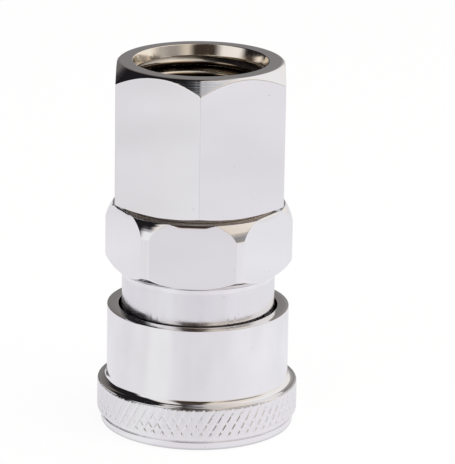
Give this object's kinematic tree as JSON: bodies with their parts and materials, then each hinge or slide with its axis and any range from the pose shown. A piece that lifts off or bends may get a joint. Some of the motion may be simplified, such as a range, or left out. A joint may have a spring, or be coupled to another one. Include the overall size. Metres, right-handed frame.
{
  "type": "female thread quick air coupler",
  "caption": "Quick air coupler with a long hexagonal female thread port, a hexagonal body and a spring-loaded knurled release sleeve over a ring of locking balls.",
  "frame": {"origin": "centre of the mouth end of the sleeve, on which the coupler stands", "axes": "+Z along the coupler's axis from the plug mouth to the threaded port; a corner of the adapter hexagon faces -Y, and the flat of the body hexagon nearest -Y is turned 4.2 degrees from it towards -X"},
  "size_m": [0.0316, 0.0316, 0.0585],
  "materials": {
    "plated_steel_hex": "bright nickel plated turned steel",
    "plated_steel_body": "bright nickel plated turned steel",
    "plated_steel_sleeve": "bright nickel plated turned steel, knurled at the flange",
    "ball_steel": "polished bearing steel",
    "spring_steel": "drawn spring steel",
    "turned_brass": "turned brass",
    "sealing_rubber": "moulded black nitrile rubber"
  },
  "bodies": {
    "coupler_body": {"thread_adapter": "plated_steel_hex", "adapter_washer": "sealing_rubber", "main_body": "plated_steel_body", "stop_ring": "spring_steel", "plug_seal": "sealing_rubber", "valve_guide": "turned_brass", "valve_spring": "spring_steel"},
    "spring_carrier": {"sleeve_spring": "spring_steel"},
    "sleeve": {"release_sleeve": "plated_steel_sleeve"},
    "valve": {"valve_poppet": "turned_brass", "valve_seal": "sealing_rubber"},
    "ball_1": {"locking_ball_1": "ball_steel"},
    "ball_2": {"locking_ball_2": "ball_steel"},
    "ball_3": {"locking_ball_3": "ball_steel"},
    "ball_4": {"locking_ball_4": "ball_steel"},
    "ball_5": {"locking_ball_5": "ball_steel"},
    "ball_6": {"locking_ball_6": "ball_steel"},
    "ball_7": {"locking_ball_7": "ball_steel"},
    "ball_8": {"locking_ball_8": "ball_steel"}
  },
  "joints": [
    {"name": "sleeve_turn", "type": "hinge", "parent": "coupler_body", "child": "spring_carrier", "pos_m": [0, 0, 0.0142], "axis": [0, 0, 1], "continuous": true},
    {"name": "sleeve_pull", "type": "slide", "parent": "spring_carrier", "child": "sleeve", "axis": [0, 0, 1], "range_m": [0, 0.0036], "stiffness_N_per_m": 2500, "springref_m": -0.01, "deforming": ["sleeve_spring"]},
    {"name": "valve_lift", "type": "slide", "parent": "coupler_body", "child": "valve", "axis": [0, 0, 1], "range_m": [0, 0.004], "stiffness_N_per_m": 1500, "springref_m": -0.006, "deforming": ["valve_spring"]},
    {"name": "ball_slide_1", "type": "slide", "parent": "coupler_body", "child": "ball_1", "axis": [1, 0, 0], "range_m": [0, 0.00097]},
    {"name": "ball_slide_2", "type": "slide", "parent": "coupler_body", "child": "ball_2", "axis": [0.7071, 0.7071, 0], "range_m": [0, 0.00097]},
    {"name": "ball_slide_3", "type": "slide", "parent": "coupler_body", "child": "ball_3", "axis": [0, 1, 0], "range_m": [0, 0.00097]},
    {"name": "ball_slide_4", "type": "slide", "parent": "coupler_body", "child": "ball_4", "axis": [-0.7071, 0.7071, 0], "range_m": [0, 0.00097]},
    {"name": "ball_slide_5", "type": "slide", "parent": "coupler_body", "child": "ball_5", "axis": [-1, 0, 0], "range_m": [0, 0.00097]},
    {"name": "ball_slide_6", "type": "slide", "parent": "coupler_body", "child": "ball_6", "axis": [-0.7071, -0.7071, 0], "range_m": [0, 0.00097]},
    {"name": "ball_slide_7", "type": "slide", "parent": "coupler_body", "child": "ball_7", "axis": [0, -1, 0], "range_m": [0, 0.00097]},
    {"name": "ball_slide_8", "type": "slide", "parent": "coupler_body", "child": "ball_8", "axis": [0.7071, -0.7071, 0], "range_m": [0, 0.00097]}
  ],
  "couplings": [
    {"joint": "ball_slide_1", "follows": "sleeve_pull", "ratio": 0.26795},
    {"joint": "ball_slide_2", "follows": "sleeve_pull", "ratio": 0.26795},
    {"joint": "ball_slide_3", "follows": "sleeve_pull", "ratio": 0.26795},
    {"joint": "ball_slide_4", "follows": "sleeve_pull", "ratio": 0.26795},
    {"joint": "ball_slide_5", "follows": "sleeve_pull", "ratio": 0.26795},
    {"joint": "ball_slide_6", "follows": "sleeve_pull", "ratio": 0.26795},
    {"joint": "ball_slide_7", "follows": "sleeve_pull", "ratio": 0.26795},
    {"joint": "ball_slide_8", "follows": "sleeve_pull", "ratio": 0.26795}
  ]
}
